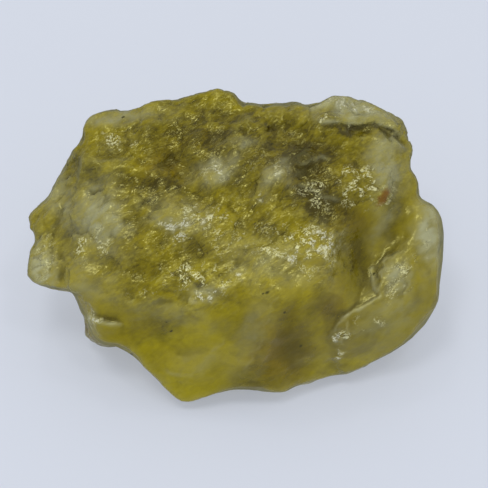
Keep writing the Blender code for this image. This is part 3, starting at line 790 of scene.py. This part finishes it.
def brokenNormal(tree, place, streaky, jitter, sugar, lit):
    # short strokes on the sugared top, the finest grain where it glints, then plates and flakes
    wild = blended(tree, crystal["cellWildness"], streaky, jitter, (-1200, -1900), "VECTOR")
    tilt = reckoned(tree, "ADD", lit, crystal["plateLeast"], (-850, -1000))
    tilt = reckoned(tree, "MULTIPLY", tilt, crystal["plateTilt"], (-700, -1100))
    plates = tippedCells(tree, wild, crystal["plateSize"], tilt, -1200)
    tilt = reckoned(tree, "MULTIPLY", lit, crystal["flakeTilt"], (-700, -1500))
    flakes = tippedCells(tree, wild, crystal["flakeSize"], tilt, -1400)
    strokes = raised(tree, "strokes", streaky, sugar, crystal["strokeLeast"], crystal["strokeHeight"], -150)
    grain = raised(tree, "grain", place, lit, crystal["grainLeast"], crystal["grainHeight"], 0)
    plug(tree, strokes.outputs[0], grain.inputs["Normal"])
    tipped = vectorReckoned(tree, "ADD", (200, -800), grain.outputs[0], plates)
    tipped = vectorReckoned(tree, "ADD", (400, -800), tipped.outputs[0], flakes)
    return vectorReckoned(tree, "NORMALIZE", (600, -800), tipped.outputs[0]).outputs[0]


def brokenRoughness(tree, glinting, shares):
    dull = ranged(
        tree, shares["sugarShare"],
        (0.0, 1.0, crystal["cleanRoughness"], crystal["sugarRoughness"]), (100, -300),
    )
    glossy = ranged(tree, glinting, masks["glossy"], (100, -450))
    shine = blended(tree, glossy, dull, crystal["glintRoughness"], (300, -300), "FLOAT")
    return blended(tree, shares["rimShare"], shine, crystal["rimRoughness"], (500, -300), "FLOAT")


def makeCrystal():
    material = bpy.data.materials.new("lemonCrystal")
    material.use_nodes = True
    tree = material.node_tree
    shader = tree.nodes["Principled BSDF"]
    output = tree.nodes["Material Output"]
    shader.location, output.location = (1800, 0), (2100, 0)

    place, streaky = stoneCoordinates(tree)
    jitter = noiseOf(tree, place, "jitter", (-1400, -1900), "Color")
    shares = paintedShares(tree)
    waves = {"broad": noiseOf(tree, place, "broad", (-1400, 0))}
    for i, name in enumerate(("middling", "fine", "wisps")):
        waves[name] = noiseOf(tree, streaky, name, (-1400, -300 * (i + 1)))
    glinting, frosty, lit = glintShares(tree, place, shares)
    paintedGlintFlecks = paintedGlints(tree, place, streaky, lit)

    colour = bodyColour(tree, shares, waves)
    colour = cloudedColour(tree, colour, shares, waves)
    colour = glintingColour(tree, colour, paintedGlintFlecks, frosty, lit, shares, waves)
    colour = spottedColour(tree, colour, place, jitter)
    absorb = addNode(tree, "ShaderNodeVolumeAbsorption", (1800, -700), {
        "Color": crystal["absorbColour"], "Density": crystal["absorbDensity"],
    })
    for value, name in (
        (colour, "Base Color"),
        (brokenNormal(tree, place, streaky, jitter, shares["sugarShare"], lit), "Normal"),
        (brokenRoughness(tree, glinting, shares), "Roughness"),
        (0.0, "Metallic"),
        (crystal["specular"], "Specular IOR Level"),
        (crystal["specularTint"], "Specular Tint"),
        (crystal["refraction"], "IOR"),
        (crystal["transmission"], "Transmission Weight"),
    ):
        plug(tree, value, shader.inputs[name])
    plug(tree, absorb.outputs[0], output.inputs["Volume"])
    return material


# the studio
studio = {
    "elevation": math.radians(50),
    "lens": 180.0,
    "distance": 267 * mm,
    "frameCentre": (0.80, 0.24),      # where the middle of the picture falls, u and v in mm
    "floor": linear(162, 166, 174),
    "floorSize": 3,                   # in metres
    "floorRoughness": 0.9,
    "floorGlow": 0.33,                # how brightly it glows by itself, as a light table does
    "floorLight": (0.90, 0.95, 1.08, 1.0),
    "skyFront": 0.74,                 # low in front, on the right
    "skyBack": 0.78,                  # overhead and at the left
    "skyTint": (0.95, 0.97, 1.0, 1.0),
    "skyFade": (0.1, 0.9),            # where it begins to brighten and where it is brightest
    "backSide": (-0.45, 0.25, 0.86),  # the way to its brightest place
    "lightsAim": (0, 0, 0.01),
    "lights": (
        {"name": "key", "place": (-0.08, -0.11, 0.47), "size": 0.12, "power": 0.42},
        {"name": "fill", "place": (0.12, -0.12, 0.46), "size": 0.07, "power": 0.16},
        {"name": "back", "place": (-0.06, 0.16, 0.46), "size": 0.06, "power": 0.08},
    ),
}


def makeFloor():
    deselectAll()
    bpy.ops.mesh.primitive_plane_add(size=studio["floorSize"])
    floor = bpy.context.object
    floor.name = "paleFloor"
    material = bpy.data.materials.new("paleFloor")
    material.use_nodes = True
    shader = material.node_tree.nodes["Principled BSDF"]
    shader.inputs["Base Color"].default_value = studio["floor"]
    shader.inputs["Roughness"].default_value = studio["floorRoughness"]
    shader.inputs["Emission Color"].default_value = studio["floorLight"]
    shader.inputs["Emission Strength"].default_value = studio["floorGlow"]
    floor.data.materials.append(material)


def makeSky():
    # a light tent round the table
    world = bpy.data.worlds.new("tent")
    bpy.context.scene.world = world
    world.use_nodes = True
    tree = world.node_tree
    background = tree.nodes["Background"]
    coords = addNode(tree, "ShaderNodeTexCoord", (-900, 0))
    facing = addNode(tree, "ShaderNodeVectorMath", (-700, 0), operation="DOT_PRODUCT")
    facing.inputs[1].default_value = studio["backSide"]
    fade = addNode(tree, "ShaderNodeMapRange", (-500, 0), {
        "From Min": studio["skyFade"][0], "From Max": studio["skyFade"][1],
        "To Min": studio["skyFront"], "To Max": studio["skyBack"],
    }, interpolation_type="SMOOTHSTEP")
    tree.links.new(coords.outputs["Generated"], facing.inputs[0])
    tree.links.new(facing.outputs["Value"], fade.inputs["Value"])
    tree.links.new(fade.outputs[0], background.inputs["Strength"])
    background.inputs["Color"].default_value = studio["skyTint"]


def aim(thing, place, target):
    thing.location = place
    thing.rotation_mode = "QUATERNION"
    thing.rotation_quaternion = (Vector(target) - Vector(place)).to_track_quat("-Z", "Y")


def makeLight(light):
    data = bpy.data.lights.new(light["name"], "AREA")
    data.energy = light["power"]
    data.shape = "DISK"
    data.size = light["size"]
    lamp = bpy.data.objects.new(light["name"], data)
    bpy.context.scene.collection.objects.link(lamp)
    aim(lamp, light["place"], studio["lightsAim"])


def makeStudio():
    makeFloor()
    makeSky()
    for light in studio["lights"]:
        makeLight(light)

    data = bpy.data.cameras.new("camera")
    data.lens = studio["lens"]
    data.clip_start = 0.01
    camera = bpy.data.objects.new("camera", data)
    bpy.context.scene.collection.objects.link(camera)
    target = toScene(*studio["frameCentre"])
    back = Vector((0, -math.cos(studio["elevation"]), math.sin(studio["elevation"])))
    aim(camera, target + back * studio["distance"], target)
    bpy.context.scene.camera = camera
    bpy.context.scene.view_settings.view_transform = "Standard"


print("stone")
stone = buildStone()
print("triangles", sum(len(face.vertices) - 2 for face in stone.data.polygons))
paintPlaces(stone)
print("crystal")
stone.data.materials.clear()
stone.data.materials.append(makeCrystal())
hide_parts("rough_topaz")
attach(stone, "root")
print("studio")
makeStudio()
